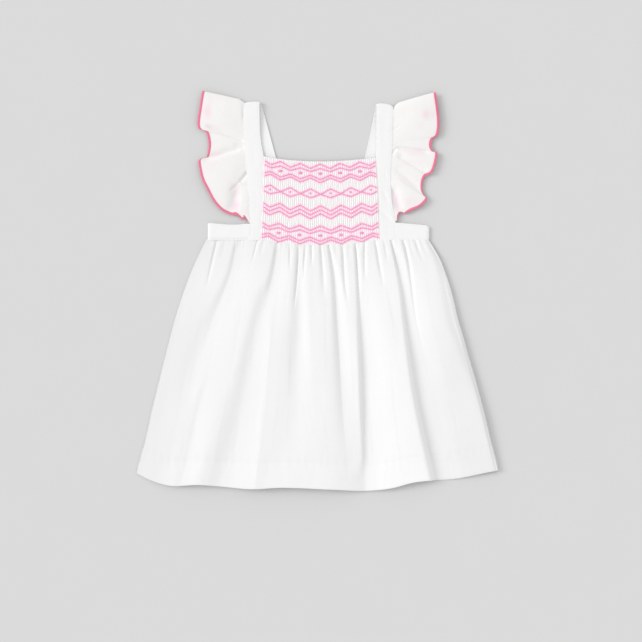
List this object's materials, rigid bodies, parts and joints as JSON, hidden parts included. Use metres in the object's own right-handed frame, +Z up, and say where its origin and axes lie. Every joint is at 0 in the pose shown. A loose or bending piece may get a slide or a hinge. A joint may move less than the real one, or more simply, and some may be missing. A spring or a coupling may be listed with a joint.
{
  "type": "toddler dress",
  "caption": "Toddler dress laid flat: a smocked bodice between shoulder straps, ruffled flutter sleeves, a waistband and a full gathered skirt.",
  "frame": {"origin": "on the surface the dress lies on, under the middle of its bounding box", "axes": "+Y from the hem to the neck, +X to the right as the front is seen, +Z up out of the front"},
  "size_m": [0.4125, 0.4545, 0.0109],
  "materials": {
    "cotton": "matt white cotton poplin",
    "smocked_cotton": "matt white cotton in fine pleats, stitched over in pink thread",
    "sleeve_cotton": "thin white cotton, slightly see-through"
  },
  "bodies": {
    "root": {"skirt_front": "cotton", "skirt_back": "cotton", "bodice_smocked": "smocked_cotton", "strap_front_left": "cotton", "strap_front_right": "cotton", "strap_back_left": "cotton", "strap_back_right": "cotton", "waistband_front_left": "cotton", "waistband_front_right": "cotton", "waistband_back": "cotton", "sleeve_left": "sleeve_cotton", "sleeve_right": "sleeve_cotton"}
  },
  "joints": []
}
